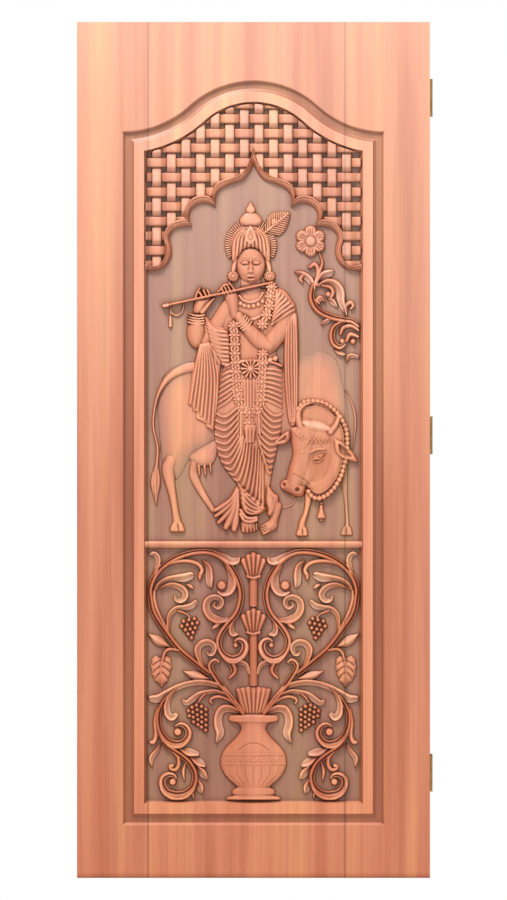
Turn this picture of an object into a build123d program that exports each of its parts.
from build123d import *
import math
import os

# A carved temple door: a frame-and-panel leaf on three lift-off hinges.
# X runs to the right, Z up, and the carved face looks along -Y. Lengths are in millimetres.

# Leaf
LEAF_WIDTH = 838.0
LEAF_HEIGHT = 2032.0
LEAF_THICKNESS = 40.0

# Plain border round the sunk moulding
SIDE_BORDER = 108.0
BOTTOM_BORDER = 125.0
SHOULDER_DROP = 259.0
CROWN_DROP = 138.0
CROWN_ARC_SHARE = 0.49

# Moulding, from the border inwards
CHAMFER_WIDTH = 7.0
QUIRK_WIDTH = 13.0
SLOPE_WIDTH = 8.0
BAND_WIDTH = 23.0
BEVEL_WIDTH = 8.0
QUIRK_DEPTH = 7.0
BAND_DEPTH = 2.0
FLOOR_DEPTH = 14.0

# Panels, held by a tongue in a groove
PANEL_THICKNESS = 18.0
TONGUE_LENGTH = 12.0
TONGUE_THICKNESS = 10.0
TONGUE_SETBACK = 4.0
GROOVE_SPARE = 0.4
FIT = 0.2

# Joints of the frame
TENON_LENGTH = 50.0
TENON_THICKNESS = 13.0
TENON_MARGIN = 30.0

# Dividing rail: a web with a bead in front and a flange behind the panels
BEAD_WIDTH = 17.0
BEAD_HEIGHT = 10.0
FLANGE_WIDTH = 70.0

# Lift-off hinges on the right edge, knuckles behind the leaf
HINGE_HEIGHT = 90.0
HINGE_TOP_DROP = 180.0
HINGE_BOTTOM_RISE = 250.0
FLAP_WIDTH = 30.0
FLAP_THICKNESS = 2.5
FLAP_GAP = 1.0
KNUCKLE_RADIUS = 5.5
KNUCKLE_STANDOFF = 0.3
KNUCKLE_SPACE = 0.4
NOTCH_SPACE = 0.5
PIN_RADIUS = 3.0
PIN_CLEARANCE = 0.05
HOLE_RADIUS = 2.5
HOLE_RISE = 30.0
HOLE_INSET = 16.0

# Carving
CARVING_ROOT = 2.0
RELIEF_HIGH = 11.5
RELIEF_MIDDLE = 8.5
RELIEF_LOW = 5.0
WEAVE_TOP = 10.0
END_RISE_SHARE = 0.4
RIDGE_SHARES = ((-1, 0), (0, 1), (1, 0))
ROUND_SHARES = ((-1, 0), (-0.55, 0.94), (0.55, 0.94), (1, 0))
STRIP_SHARES = ((-1, 0), (-1, 1), (1, 1), (1, 0))
TILE_LENGTH_SHARES = (-1, 0, 1)
TILE_SLIVER_SHARE = 0.3

# Where the photo's points lie on the panel floor
MIDDLE_PX = 253.5
FLOOR_HALF_PX = 106.15
FLOOR_BOTTOM_PX = 800.5
FLOOR_CROWN_PX = 105.0
RAIL_PX = 544.5

# Basket weave: first column and row, their steps and counts, and the strips
WEAVE_COLUMN_PX = 156.7
WEAVE_COLUMN_STEP_PX = 14.6
WEAVE_COLUMNS = 14
WEAVE_ROW_PX = 104.1
WEAVE_ROW_STEP_PX = 14.65
WEAVE_ROWS = 12
STRIP_HALF_PX = 4.4
STRIP_REACH_PX = 10.1

# Cusped arch, left half: three lobes from the side up to the point
ARCH_HALF_PX = (3.4, 3.4, 3.4)
ARCH_LOBES_PX = (
    ((141, 266), (151, 268.5), (162, 265.5), (168.2, 255), (167, 240), (170, 229), (179, 223.5),
     (192, 224.6)),
    ((190.4, 227), (186.8, 216), (188.5, 207.5), (194, 201.5), (201, 199), (208, 199.8), (215, 205)),
    ((214.2, 204.5), (213.5, 194.5), (219, 186), (231, 180.5), (243, 175.5), (250.5, 165), (253.5, 151)),
)

# Flute player: path, half widths (start, middle, end)
FIGURE_ROUND_HIGH_PX = (
    (((251, 244), (251, 266), (251, 285)), (13, 16, 6)),
    (((251, 225), (251, 236), (251, 252)), (8, 17, 17)),
    (((251, 213), (251, 220), (251, 227)), (5, 12, 9)),
    (((250.7, 201.5), (250.7, 208), (250.7, 214)), (1, 4.6, 2)),
    (((195, 348), (192.5, 335), (196.5, 318), (199, 305), (205, 292)), (5, 8, 4)),
    (((226, 284), (234, 297), (239, 311), (243, 321)), (4, 6.5, 5)),
    (((241, 319), (252, 330), (266, 342)), (5, 7.5, 9)),
    (((264, 345), (275, 331), (284, 314), (288, 300)), (7, 10, 6)),
)
FIGURE_ROUND_LOW_PX = (
    (((251, 288), (251, 325), (251, 362)), (12, 26, 23)),
    (((225, 306), (212, 324), (199, 341)), (9, 8.5, 7)),
    (((250, 360), (249, 390), (249, 420), (247, 448), (251, 474), (259, 508)), (30, 35, 8)),
    (((252, 484), (251, 500), (249, 513)), (9, 9.5, 8)),
    (((249, 514), (249, 525), (248.5, 535)), (6, 7.5, 8)),
    (((271, 490), (277, 508), (277, 521), (265, 531)), (6, 6.5, 5)),
)
FIGURE_RIDGES_PX = (
    (((240, 223), (231, 232), (228.5, 245), (232, 259)), (3, 3.4, 3)),
    (((262, 223), (271, 232), (273.5, 245), (270, 259)), (3, 3.4, 3)),
    (((264, 233), (272, 225), (280, 219), (290, 211)), (3, 10, 1.2)),
    (((233, 269), (233, 276), (233, 283)), (2, 6, 2)),
    (((270, 269), (270, 276), (270, 283)), (2, 6, 2)),
    (((238, 295), (251, 305), (264, 294)), (2, 2.6, 2)),
    (((271, 289), (281, 297), (292, 309)), (5, 8, 4)),
    (((222, 362), (251, 371), (283, 361)), (3, 4, 3)),
    (((250.6, 358), (250.6, 368.8), (250.6, 380)), (3, 10.5, 3)),
    (((233, 321), (235, 360), (239, 400), (249.5, 415), (260, 400), (262.5, 348)), (4, 4.4, 4)),
    (((272, 287), (270, 305), (264, 324)), (3.6, 4.2, 3.6)),
    (((244.5, 380), (244, 408)), (2.6, 2.6, 2.2)),
    (((254.5, 380), (255, 406)), (2.6, 2.6, 2.2)),
    (((249.5, 418), (249.5, 445)), (3, 4, 3)),
    (((202, 345), (196, 375), (190, 405)), (2, 2.6, 2.6)),
    (((214, 347), (210, 386), (208, 426)), (2, 2.6, 2.6)),
    (((208, 320), (213, 340), (228, 358)), (2, 2.4, 2)),
    (((287, 326), (286, 424)), (1.8, 2, 2)),
    (((239, 488), (226, 504), (216, 520)), (2.4, 4, 4)),
    (((241, 490), (231, 508), (229, 528)), (2.4, 4, 4)),
)
GARMENT_FOLDS_PX = (
    ((231, 384), (224, 391), (218, 403)),
    ((236, 412), (226, 420), (216, 433)),
    ((222, 460), (235, 459), (250, 448)),
    ((243, 486), (254, 484), (268, 470)),
    ((268, 384), (276, 391), (282, 403)),
    ((264, 416), (273, 425), (280, 440)),
)
FOLD_HALF_PX = (1.4, 2.8, 1.4)
FLUTE_PX = ((163.3, 306), (272.7, 282.4))
FLUTE_HALF_PX = (1.9, 1.9)

# Cow
COW_ROUND_LOW_PX = (
    (((158, 408), (168, 405), (192, 402), (225, 401)), (18, 37, 41)),
    (((282, 396), (302, 394), (322, 391), (338, 399), (348, 415)), (30, 37, 9)),
)
COW_LIMBS_PX = (
    (((176, 428), (169, 452), (167.5, 470), (173, 496), (177, 518), (177, 530)), (15, 6, 6.5)),
    (((207, 440), (195, 463), (193, 477), (202, 494), (210, 508)), (8, 5, 3.6)),
    (((203, 441), (203, 457), (203, 475)), (9, 11.5, 5)),
    (((311, 490), (308, 509), (303, 524), (301, 536)), (6, 4, 6)),
    (((340, 470), (345, 490), (347, 513), (347, 534)), (6, 4, 5)),
)
COW_ROUND_HIGH_PX = (
    (((312, 421), (312, 440), (309, 460), (300, 478), (293, 497)), (17, 20.5, 9)),
)
COW_RIDGES_PX = (
    (((190, 365), (168, 377), (156.5, 397), (153.5, 424), (157.5, 447), (156, 468)), (2, 2.3, 2.3)),
    (((156, 464), (155, 482), (157.5, 506)), (2.6, 5, 1)),
    (((290, 436), (280, 441), (272, 444)), (3, 5.4, 1)),
    (((333, 442), (345, 450), (357.5, 461)), (3, 8, 1)),
    (((301, 428), (298.5, 413), (303, 406), (311, 403)), (4.4, 3.6, 1)),
    (((330, 433), (338, 420), (336, 410)), (4.4, 3.8, 1)),
    (((297.6, 409), (307, 401.5), (322, 402), (336, 411), (345.5, 427), (347, 450), (341.5, 475), (330, 493),
      (312, 497)), (2.6, 2.8, 2.6)),
    (((321, 503), (321, 512), (321, 520)), (1.2, 3.4, 5)),
)

# Flower spray
FLOWER_PX = (310.6, 241.3)
PETAL_COUNT = 6
PETAL_TURN_SHARE = 0.5
PETAL_REACH_PX = (4, 11, 16.5)
PETAL_HALF_PX = (2.4, 6.4, 2.6)
SPRAY_PX = (
    (((319, 254), (322.5, 263), (314, 286), (311, 296.5), (314, 306), (322, 313.5), (333, 318), (353, 321.5)),
     (2, 3, 2)),
    (((308, 268), (314, 263.5), (318.5, 269), (316, 280)), (1.6, 2.4, 1.6)),
    (((319, 281), (325, 275), (334, 270)), (1.6, 4.6, 1)),
    (((313, 288), (305, 277), (295, 272)), (2, 4, 1)),
    (((317, 287), (328, 281.5), (338, 286), (342, 297), (346, 313)), (2, 4, 2)),
    (((325, 285), (332.5, 288), (334, 296), (328, 301)), (1.6, 2.8, 3)),
    (((344, 321), (334.5, 327), (331, 336), (334, 345), (341, 349), (346.5, 345)), (2, 3, 1.6)),
    (((347, 340), (351, 334), (357, 337)), (1.4, 2.4, 1.6)),
    (((337, 352), (345, 355), (352, 354), (357.5, 357)), (1.4, 2.8, 1.6)),
)
SPRAY_BEADS_PX = (((310.6, 241.3), 5.4), ((328.5, 295.5), 3.8), ((342.5, 341.5), 3.6))

# Lower panel, left half: path, half widths; the right half is its mirror image
SCROLLS_PX = (
    (((209, 674), (178.2, 647.8), (165, 630.4), (154.3, 613.8), (150.8, 596), (152.5, 581), (160, 569),
      (172, 560), (188, 553.5), (204, 552.5), (220, 559), (232, 571), (239.5, 587), (239.5, 604), (233, 617),
      (219.3, 643), (223.5, 653), (233, 658), (242, 652.5), (242, 642.5)), (2.6, 3, 1.6)),
    (((205, 553), (224, 556), (233.5, 560.5), (239.3, 557)), (1.5, 3.6, 1.5)),
    (((224.5, 565.5), (230.5, 576), (231, 587), (219, 592)), (1.4, 4.6, 1.6)),
    (((233, 617), (223.5, 619.5), (212, 616.5), (207, 606), (212, 598.5), (220, 600.5)), (1.6, 3.6, 1.8)),
    (((206.5, 670), (199.5, 656), (202, 646), (209, 644.5), (212.5, 649)), (1.6, 3.4, 1.8)),
    (((244, 713), (230, 695), (217.5, 679), (211.6, 669), (215, 661.5)), (3, 3, 2.6)),
    (((207, 678), (196, 675), (183.5, 670.8)), (1.4, 4.6, 1)),
    (((169, 633), (169, 619), (175, 610.5), (186, 608.5), (196, 602)), (1.6, 2.8, 3)),
    (((154.5, 592), (163, 582.5), (176, 578), (191, 575.5)), (1.6, 3.4, 4)),
    (((163, 587), (173.2, 585.5), (183, 590.5), (182, 598.5), (175, 599)), (1.4, 2.8, 2)),
    (((162, 568.5), (177, 561.5), (192, 562), (200.5, 568), (201, 576)), (1.4, 2.4, 3.2)),
    (((203, 561.5), (209, 572), (211, 588.5)), (1.4, 4, 0.8)),
    (((151.5, 580), (157.5, 566), (156.5, 556), (150.8, 554.5)), (1.4, 3, 1.6)),
    (((168.5, 646), (158, 641.5), (149.3, 634)), (1.4, 5, 1)),
    (((178, 650), (169.5, 649), (164, 655), (161.5, 671), (161.3, 687)), (1.2, 8, 2)),
    (((240.5, 711), (230, 696.5), (219, 686.6), (200, 682.5), (173, 689), (151, 699.5)),
     (2.4, 2.8, 4)),
    (((237, 705), (227, 696), (214, 691.5), (200, 694.5), (184, 702.5)), (1.6, 2.2, 3.2)),
    (((236, 711), (224, 710), (219, 721), (220, 732), (216, 743.5)), (2, 4.6, 1)),
    (((163, 702), (158.8, 715), (159.5, 730), (167, 740), (178, 744), (187, 737), (187.5, 727.5),
      (179, 723.6)), (2.6, 3.2, 1.8)),
    (((161, 734), (167, 745), (179, 754), (189.5, 763), (195, 776), (190.5, 789), (178, 794.5),
      (166.5, 789.5), (164, 780), (171, 774.8)), (2.6, 3.2, 1.8)),
    (((181, 748.5), (190, 752), (198.5, 754)), (1.4, 4.4, 1.6)),
    (((192, 758), (199, 762.5), (205, 765.5)), (1.4, 4.4, 1.6)),
    (((197.8, 768), (202, 774), (206.5, 779)), (1.4, 4.4, 1.6)),
)
SCROLL_BEADS_PX = (((221.7, 585.6), 5.4), ((177.7, 732), 4.8), ((172.6, 782.4), 4.4), ((236, 646), 3.2))
GRAPES_PX = (
    (183.6, 621.3), (188.9, 620), (194.3, 618.8), (197.2, 622.9), (181.9, 626.3), (187.3, 625), (192.3, 623.8),
    (185.6, 630), (190.2, 629.2), (195.2, 627.9), (188.1, 634.1), (192.9, 632.7), (191.4, 637.9),
    (192.1, 707.4), (196.4, 705.3), (201.5, 706.6), (205.9, 709.6), (188.5, 710.9), (192.8, 712.2),
    (197.1, 709.8), (201.5, 712.2), (189.3, 715.9), (193.4, 717.2), (197.3, 714.9), (205.9, 714.8),
    (193.6, 722.1), (197.9, 719.7), (201.8, 717.1), (205.9, 719.9), (198.1, 724.8), (201.8, 722.1),
    (205.9, 725.2), (201.5, 727.1), (205.7, 730.2),
)
GRAPE_PX = 2.55
GRAPE_SIDES = 4
BEAD_SIDES = 6

# Vase and the column of palmettes on the door's middle line: heights and half widths
VASE_ROWS_PX = (714.8, 721.7, 723, 730, 739, 751, 763, 775, 786.5, 789, 795.5, 796, 800)
VASE_HALVES_PX = (25.4, 25.4, 15, 12.5, 16, 29, 33.3, 29, 17.5, 21.8, 21.8, 28, 28)
COLUMN_ROWS_PX = (551.2, 575, 575.5, 579, 579.5, 606.5, 607, 631, 631.5, 635, 635.5, 685.5, 686, 714.8)
COLUMN_HALVES_PX = (13, 7.5, 8.5, 8.5, 4.6, 4.6, 13, 7.5, 8.5, 8.5, 4.6, 4.6, 17.2, 10)

# Derived lengths
FRONT = -LEAF_THICKNESS / 2
HALF_OPENING = LEAF_WIDTH / 2 - SIDE_BORDER
SHOULDER_Z = LEAF_HEIGHT - SHOULDER_DROP
CROWN_Z = LEAF_HEIGHT - CROWN_DROP
ARCH_RISE = CROWN_Z - SHOULDER_Z
RADIUS_SUM = (HALF_OPENING**2 + ARCH_RISE**2) / (2 * ARCH_RISE)
CROWN_RADIUS = CROWN_ARC_SHARE * RADIUS_SUM
SHOULDER_RADIUS = RADIUS_SUM - CROWN_RADIUS
CROWN_CENTRE_Z = CROWN_Z - CROWN_RADIUS
SHOULDER_CENTRE_Z = SHOULDER_Z + SHOULDER_RADIUS
ARCH_LEAN = math.atan2(HALF_OPENING, SHOULDER_CENTRE_Z - CROWN_CENTRE_Z)
EDGE_INSET = CHAMFER_WIDTH + QUIRK_WIDTH
BAND_INSET = EDGE_INSET + SLOPE_WIDTH
BEVEL_INSET = BAND_INSET + BAND_WIDTH
FLOOR_INSET = BEVEL_INSET + BEVEL_WIDTH
INNER_EDGE = HALF_OPENING - EDGE_INSET
PANEL_BACK = FLOOR_DEPTH + PANEL_THICKNESS
TONGUE_FRONT = FLOOR_DEPTH + TONGUE_SETBACK
TONGUE_BACK = TONGUE_FRONT + TONGUE_THICKNESS
FLOOR_BOTTOM = BOTTOM_BORDER + FLOOR_INSET
FLOOR_CROWN = CROWN_Z - FLOOR_INSET
MM_PER_PX = (HALF_OPENING - FLOOR_INSET) / FLOOR_HALF_PX
RISE_PER_PX = (FLOOR_CROWN - FLOOR_BOTTOM) / (FLOOR_BOTTOM_PX - FLOOR_CROWN_PX)
RAIL_Z = FLOOR_BOTTOM + (FLOOR_BOTTOM_PX - RAIL_PX) * RISE_PER_PX
AXIS_X = LEAF_WIDTH / 2 + FLAP_GAP / 2
AXIS_Y = LEAF_THICKNESS / 2 + KNUCKLE_RADIUS + KNUCKLE_STANDOFF
HINGE_TOP_Z = LEAF_HEIGHT - HINGE_TOP_DROP
HINGE_MIDDLE_Z = (HINGE_TOP_Z + HINGE_BOTTOM_RISE) / 2
HINGE_ROWS = {"bottom": HINGE_BOTTOM_RISE, "middle": HINGE_MIDDLE_Z, "top": HINGE_TOP_Z}


def block(x, depth, z):
    """A box between two x, two depths below the carved face and two heights."""
    corner = Plane((x[0], FRONT + depth[0], z[0]))
    return Solid.make_box(x[1] - x[0], depth[1] - depth[0], z[1] - z[0], corner)


def corner_z(inset):
    """Height at which the side line meets the shoulder arc of an inset outline."""
    radius = SHOULDER_RADIUS + inset
    return SHOULDER_CENTRE_Z - math.sqrt(radius**2 - inset**2)


def outline(inset, depth):
    """The arched opening's outline, moved inwards by an inset."""
    half = HALF_OPENING - inset
    bottom = BOTTOM_BORDER + inset
    corner = corner_z(inset)
    crown = CROWN_RADIUS - inset
    shoulder = SHOULDER_RADIUS + inset
    turn = (math.asin(inset / shoulder) + ARCH_LEAN) / 2
    join = (crown * math.sin(ARCH_LEAN), CROWN_CENTRE_Z + crown * math.cos(ARCH_LEAN))
    belly = (HALF_OPENING - shoulder * math.sin(turn), SHOULDER_CENTRE_Z - shoulder * math.cos(turn))

    def at(x, z):
        return Vector(x, FRONT + depth, z)

    return Wire([
        Edge.make_line(at(-half, bottom), at(half, bottom)),
        Edge.make_line(at(half, bottom), at(half, corner)),
        Edge.make_three_point_arc(at(half, corner), at(*belly), at(*join)),
        Edge.make_three_point_arc(at(*join), at(0, CROWN_Z - inset), at(-join[0], join[1])),
        Edge.make_three_point_arc(at(-join[0], join[1]), at(-belly[0], belly[1]), at(-half, corner)),
        Edge.make_line(at(-half, corner), at(-half, bottom)),
    ])


def prism(inset, front, back):
    """The outline's straight prism between two depths."""
    return Solid.extrude(Face(outline(inset, front)), Vector(0, back - front, 0))


def tier(front_inset, front, back_inset, back):
    """The outline's sloping prism between two insets and depths."""
    return Solid.make_loft([outline(front_inset, front), outline(back_inset, back)], ruled=True)


def plate(corners, front, back):
    """A polygon of x and z corners, extruded between two depths."""
    wire = Wire.make_polygon([Vector(x, FRONT + front, z) for x, z in corners], close=True)
    return Solid.extrude(Face(wire), Vector(0, back - front, 0))


def on_panel(px, py):
    """A photo point's x and z on the panel floor."""
    return (px - MIDDLE_PX) * MM_PER_PX, FLOOR_BOTTOM + (FLOOR_BOTTOM_PX - py) * RISE_PER_PX


def spread(values, share):
    """The value at a share of the way along a short list."""
    place = share * (len(values) - 1)
    low = min(int(place), len(values) - 2)
    return values[low] + (values[low + 1] - values[low]) * (place - low)


def facet(points):
    """A flat polygon through points in space."""
    return Face(Wire.make_polygon([Vector(*point) for point in points], close=True))


def ridge(spots, halves, rises, section):
    """A solid with the given section along points of the floor, rooted below the floor."""
    rows = []
    last = len(spots) - 1
    for i, (x, z) in enumerate(spots):
        ahead = spots[min(i + 1, last)]
        behind = spots[max(i - 1, 0)]
        run = math.dist(ahead, behind)
        side_x = -(ahead[1] - behind[1]) / run
        side_z = (ahead[0] - behind[0]) / run
        base = FRONT + FLOOR_DEPTH + CARVING_ROOT
        rows.append([
            (x + side_x * halves[i] * u, base - (rises[i] + CARVING_ROOT) * v, z + side_z * halves[i] * u)
            for u, v in section
        ])
    base_line = [row[0] for row in rows] + [row[-1] for row in reversed(rows)]
    faces = [facet(rows[0]), facet(rows[-1]), facet(base_line)]
    for near, far in zip(rows, rows[1:]):
        for j in range(len(section) - 1):
            faces.append(facet((near[j], near[j + 1], far[j])))
            faces.append(facet((near[j + 1], far[j + 1], far[j])))
    return Solid(Shell(faces))


def stroke(path, widths, rise, section=RIDGE_SHARES, mirrored=False):
    """A carved ridge along photo points, lower where it is narrow."""
    sign = -1 if mirrored else 1
    spots = [on_panel(MIDDLE_PX + sign * (px - MIDDLE_PX), py) for px, py in path]
    shares = [spread(widths, i / (len(path) - 1)) for i in range(len(path))]
    widest = max(shares)
    halves = [share * MM_PER_PX for share in shares]
    rises = [rise * (END_RISE_SHARE + (1 - END_RISE_SHARE) * share / widest) for share in shares]
    return ridge(spots, halves, rises, section)


def stud(centre, radius, rise, sides, mirrored=False):
    """A carved bead or grape, as a pyramid on a regular polygon."""
    sign = -1 if mirrored else 1
    x, z = on_panel(MIDDLE_PX + sign * (centre[0] - MIDDLE_PX), centre[1])
    floor = FRONT + FLOOR_DEPTH
    spread_out = radius * MM_PER_PX
    root = floor + CARVING_ROOT
    turns = [2 * math.pi * k / sides for k in range(sides)]
    rim = [(x + spread_out * math.cos(t), root, z + spread_out * math.sin(t)) for t in turns]
    tip = (x, floor - rise, z)
    faces = [facet(rim)] + [facet((rim[k - 1], rim[k], tip)) for k in range(sides)]
    return Solid(Shell(faces))


def joined(shapes):
    """The shapes fused, as one solid or a group of solids."""
    return shapes[0].fuse(*shapes[1:])


def weave_tile(column, row, upright):
    """One strip of the weave where it passes over the crossing strip."""
    px = WEAVE_COLUMN_PX + column * WEAVE_COLUMN_STEP_PX
    py = WEAVE_ROW_PX + row * WEAVE_ROW_STEP_PX
    reach = [STRIP_REACH_PX * share for share in TILE_LENGTH_SHARES]
    spots = [on_panel(px, py + r) if upright else on_panel(px + r, py) for r in reach]
    halves = [STRIP_HALF_PX * MM_PER_PX] * len(spots)
    return ridge(spots, halves, (0, WEAVE_TOP, 0), STRIP_SHARES)


def weave():
    """The basket weave above the cusped arch, cut to its field."""
    line = [point for lobe in ARCH_LOBES_PX for point in lobe]
    left = [on_panel(*point) for point in line]
    right = [(-x, z) for x, z in reversed(left)]
    above = [(HALF_OPENING, LEAF_HEIGHT), (-HALF_OPENING, LEAF_HEIGHT)]
    opening = prism(FLOOR_INSET + FIT, BAND_DEPTH, PANEL_BACK)
    field = plate(left + right + above, BAND_DEPTH, PANEL_BACK) & opening
    tiles = []
    for column in range(WEAVE_COLUMNS):
        for row in range(WEAVE_ROWS):
            tiles.append(weave_tile(column, row, upright=(column + row) % 2 == 1))
    whole = tiles[0].volume
    pieces = (Compound(children=tiles) & field).solids()
    return [piece for piece in pieces if piece.volume > TILE_SLIVER_SHARE * whole]


def strokes(table, rise, section=RIDGE_SHARES, mirrored=False):
    """One ridge for each path and half widths in a table."""
    return [stroke(path, widths, rise, section, mirrored) for path, widths in table]


def figure_and_cow():
    """Flute player, cow and flower spray."""
    cow = strokes(COW_ROUND_LOW_PX, RELIEF_LOW, ROUND_SHARES)
    cow += strokes(COW_LIMBS_PX, RELIEF_MIDDLE)
    cow += strokes(COW_ROUND_HIGH_PX, RELIEF_HIGH, ROUND_SHARES)
    cow += strokes(COW_RIDGES_PX, RELIEF_MIDDLE)
    player = strokes(FIGURE_ROUND_HIGH_PX, RELIEF_HIGH, ROUND_SHARES)
    player += strokes(FIGURE_ROUND_LOW_PX, RELIEF_MIDDLE, ROUND_SHARES)
    player += strokes(FIGURE_RIDGES_PX, RELIEF_HIGH)
    player += [stroke(path, FOLD_HALF_PX, RELIEF_HIGH) for path in GARMENT_FOLDS_PX]
    player.append(stroke(FLUTE_PX, FLUTE_HALF_PX, RELIEF_HIGH))
    spray = strokes(SPRAY_PX, RELIEF_MIDDLE)
    for k in range(PETAL_COUNT):
        turn = 2 * math.pi * (k + PETAL_TURN_SHARE) / PETAL_COUNT
        side, up = math.sin(turn), math.cos(turn)
        path = [(FLOWER_PX[0] + r * side, FLOWER_PX[1] - r * up) for r in PETAL_REACH_PX]
        spray.append(stroke(path, PETAL_HALF_PX, RELIEF_MIDDLE))
    spray += [stud(centre, radius, RELIEF_HIGH, BEAD_SIDES) for centre, radius in SPRAY_BEADS_PX]
    return cow + player + spray


def cusped_arch():
    """The trim between the weave and the figure's field."""
    lobes = [(lobe, ARCH_HALF_PX) for lobe in ARCH_LOBES_PX]
    left = strokes(lobes, RELIEF_HIGH)
    return left + strokes(lobes, RELIEF_HIGH, mirrored=True)


def lower_carving():
    """Vase, column of palmettes and the mirrored scrolls."""
    pieces = []
    for mirrored in (False, True):
        pieces += strokes(SCROLLS_PX, RELIEF_MIDDLE, RIDGE_SHARES, mirrored)
        for centre, radius in SCROLL_BEADS_PX:
            pieces.append(stud(centre, radius, RELIEF_HIGH, BEAD_SIDES, mirrored))
        for centre in GRAPES_PX:
            pieces.append(stud(centre, GRAPE_PX, RELIEF_MIDDLE, GRAPE_SIDES, mirrored))
    for rows, halves in ((VASE_ROWS_PX, VASE_HALVES_PX), (COLUMN_ROWS_PX, COLUMN_HALVES_PX)):
        spots = [on_panel(MIDDLE_PX, py) for py in rows]
        sizes = [half * MM_PER_PX for half in halves]
        widest = max(halves)
        rises = [RELIEF_HIGH * (END_RISE_SHARE + (1 - END_RISE_SHARE) * half / widest) for half in halves]
        pieces.append(ridge(spots, sizes, rises, ROUND_SHARES))
    return pieces


def carved(panel, pieces):
    """The panel with its carving fused on, kept clear of the mouldings."""
    limit = prism(FLOOR_INSET + FIT, BAND_DEPTH, PANEL_BACK)
    relief = joined(pieces) & limit
    return panel.fuse(*relief.solids())


def panel_blank(low, high, flange):
    """A panel with its tongue, cut back behind where the dividing rail's flange lies."""
    span = (-LEAF_WIDTH, LEAF_WIDTH)
    body = prism(EDGE_INSET + FIT, FLOOR_DEPTH, PANEL_BACK) & block(span, (0, LEAF_THICKNESS), (low, high))
    tongue = prism(EDGE_INSET - TONGUE_LENGTH, TONGUE_FRONT, TONGUE_BACK)
    tongue = tongue & block(span, (0, LEAF_THICKNESS), (low, high))
    return (body + tongue) - block(span, (TONGUE_BACK, LEAF_THICKNESS), flange)


def flap(side, z):
    """A hinge flap: the leaf's (-1) with the upper knuckle, or the post's (1) with the lower one."""
    near = AXIS_X + side * FLAP_GAP / 2
    far = near + side * FLAP_THICKNESS
    face = (min(near, far), max(near, far))
    pin_depth = AXIS_Y - FRONT
    low = z - HINGE_HEIGHT / 2
    high = z + HINGE_HEIGHT / 2
    lower = (low, z - KNUCKLE_SPACE / 2)
    upper = (z + KNUCKLE_SPACE / 2, high)
    own = upper if side < 0 else lower
    notch = (low, upper[0]) if side < 0 else (lower[1], high)
    shape = block(face, (LEAF_THICKNESS - FLAP_WIDTH, pin_depth), (low, high))
    shape = shape - block(face, (pin_depth - KNUCKLE_RADIUS - NOTCH_SPACE, pin_depth), notch)
    shape = shape + Solid.make_cylinder(KNUCKLE_RADIUS, own[1] - own[0], Plane((AXIS_X, AXIS_Y, own[0])))
    if side < 0:
        bore = Solid.make_cylinder(PIN_RADIUS + PIN_CLEARANCE, HINGE_HEIGHT, Plane((AXIS_X, AXIS_Y, low)))
        return shape - bore
    for sign in (-1, 1):
        spot = Plane((face[0], LEAF_THICKNESS / 2 - HOLE_INSET, z + sign * HOLE_RISE), z_dir=(1, 0, 0))
        shape = shape - Solid.make_cylinder(HOLE_RADIUS, FLAP_THICKNESS, spot)
    return shape


def hinge_pin(z):
    """A pin standing on the lower knuckle, up through the upper one."""
    foot = z - KNUCKLE_SPACE / 2
    return Solid.make_cylinder(PIN_RADIUS, z + HINGE_HEIGHT / 2 - foot, Plane((AXIS_X, AXIS_Y, foot)))


def save(name, shape):
    """Writes one node, which has to be one solid."""
    solids = shape.solids()
    if len(solids) != 1:
        raise ValueError(f"{name} is {len(solids)} solids")
    solid = solids[0]
    solid.label = name
    export_step(solid, os.path.join("parts", name + ".step"))


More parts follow.
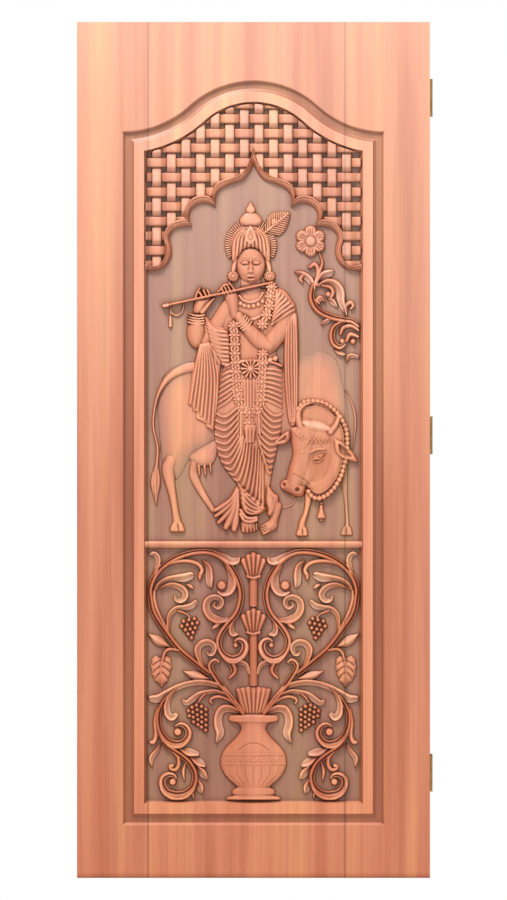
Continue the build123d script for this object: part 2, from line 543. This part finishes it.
def build():
    """Makes every node of the leaf and its hinges."""
    os.makedirs("parts", exist_ok=True)
    half = LEAF_WIDTH / 2
    through = (0, LEAF_THICKNESS)

    # The whole frame first, with its chamfer, quirk, opening and groove, then its four members.
    frame = block((-half, half), through, (0, LEAF_HEIGHT))
    frame = frame - tier(0, 0, CHAMFER_WIDTH, QUIRK_DEPTH)
    frame = frame - prism(EDGE_INSET, 0, LEAF_THICKNESS)
    frame = frame - prism(EDGE_INSET - TONGUE_LENGTH - GROOVE_SPARE, TONGUE_FRONT - FIT, TONGUE_BACK + FIT)

    tenon_depth = ((LEAF_THICKNESS - TENON_THICKNESS) / 2, (LEAF_THICKNESS + TENON_THICKNESS) / 2)
    tenon_rows = {
        "bottom": (TENON_MARGIN, BOTTOM_BORDER + EDGE_INSET - TENON_MARGIN),
        "top": (SHOULDER_Z + TENON_MARGIN, LEAF_HEIGHT - TENON_MARGIN),
    }
    rail_spans = {"bottom": (0, RAIL_Z), "top": (RAIL_Z, LEAF_HEIGHT)}
    for place, (low, high) in tenon_rows.items():
        rail = frame & block((-INNER_EDGE, INNER_EDGE), through, rail_spans[place])
        reach = INNER_EDGE + TENON_LENGTH
        rail = rail + block((-reach, -INNER_EDGE), tenon_depth, (low, high))
        rail = rail + block((INNER_EDGE, reach), tenon_depth, (low, high))
        save(place + "_rail", rail)

    for place, sign in (("left", -1), ("right", 1)):
        span = (-half, -INNER_EDGE) if sign < 0 else (INNER_EDGE, half)
        stile = frame & block(span, through, (0, LEAF_HEIGHT))
        reach = INNER_EDGE + TENON_LENGTH + GROOVE_SPARE
        pocket = (-reach, -INNER_EDGE) if sign < 0 else (INNER_EDGE, reach)
        pocket_depth = (tenon_depth[0] - FIT, tenon_depth[1] + FIT)
        for low, high in tenon_rows.values():
            stile = stile - block(pocket, pocket_depth, (low - FIT, high + FIT))
        if sign > 0:
            for z in HINGE_ROWS.values():
                sunk = (half - FLAP_THICKNESS, half)
                rows = (z - HINGE_HEIGHT / 2 - FIT, z + HINGE_HEIGHT / 2 + FIT)
                stile = stile - block(sunk, (LEAF_THICKNESS - FLAP_WIDTH - FIT, LEAF_THICKNESS), rows)
        save(place + "_stile", stile)

    # Planted mouldings: one ring, mitred into four.
    ring = tier(BAND_INSET, BAND_DEPTH, EDGE_INSET, QUIRK_DEPTH) + prism(EDGE_INSET, QUIRK_DEPTH, FLOOR_DEPTH)
    ring = ring - tier(BEVEL_INSET, BAND_DEPTH, FLOOR_INSET, FLOOR_DEPTH)
    outer = (-INNER_EDGE, BOTTOM_BORDER + EDGE_INSET), (-INNER_EDGE, corner_z(EDGE_INSET))
    inner_x = -(HALF_OPENING - FLOOR_INSET)
    inner = (inner_x, FLOOR_BOTTOM), (inner_x, corner_z(FLOOR_INSET))
    left_field = plate((outer[0], inner[0], inner[1], outer[1]), 0, LEAF_THICKNESS)
    right_field = plate([(-x, z) for x, z in (outer[0], inner[0], inner[1], outer[1])], 0, LEAF_THICKNESS)
    bottom_corners = (outer[0], (-outer[0][0], outer[0][1]), (-inner[0][0], inner[0][1]), inner[0])
    bottom_field = plate(bottom_corners, 0, LEAF_THICKNESS)
    left_moulding = ring & left_field
    right_moulding = ring & right_field
    save("left_moulding", left_moulding)
    save("right_moulding", right_moulding)
    save("bottom_moulding", ring & bottom_field)
    save("arch_moulding", ring - left_field - right_field - bottom_field)

    # Dividing rail, its bead coped to the side mouldings.
    web = (RAIL_Z - BEAD_WIDTH / 2, RAIL_Z + BEAD_WIDTH / 2)
    flange = (RAIL_Z - FLANGE_WIDTH / 2, RAIL_Z + FLANGE_WIDTH / 2)
    stub = INNER_EDGE + TONGUE_LENGTH
    rail = block((-INNER_EDGE, INNER_EDGE), (FLOOR_DEPTH, TONGUE_BACK), web)
    rail = rail + block((-INNER_EDGE, INNER_EDGE), (TONGUE_BACK, LEAF_THICKNESS), flange)
    rail = rail + block((-stub, stub), (TONGUE_FRONT, TONGUE_BACK), web)
    reach = HALF_OPENING - BEVEL_INSET
    floor = FRONT + FLOOR_DEPTH
    low, crest, high = (Vector(-reach, y, z) for y, z in (
        (floor, web[0]), (floor - BEAD_HEIGHT, RAIL_Z), (floor, web[1])))
    profile = Wire([Edge.make_three_point_arc(low, crest, high), Edge.make_line(high, low)])
    bar = Solid.extrude(Face(profile), Vector(2 * reach, 0, 0)) - left_moulding - right_moulding
    save("dividing_rail", rail + bar)

    # Panels.
    flange_fit = (flange[0] - FIT, flange[1] + FIT)
    upper = panel_blank(web[1] + FIT, LEAF_HEIGHT, flange_fit)
    lower = panel_blank(0, web[0] - FIT, flange_fit)
    save("upper_panel", carved(upper, list(weave()) + cusped_arch() + figure_and_cow()))
    save("lower_panel", carved(lower, lower_carving()))

    # Lift-off hinges.
    for place, z in HINGE_ROWS.items():
        save(place + "_door_flap", flap(-1, z))
        save(place + "_frame_flap", flap(1, z))
        save(place + "_hinge_pin", hinge_pin(z))


build()
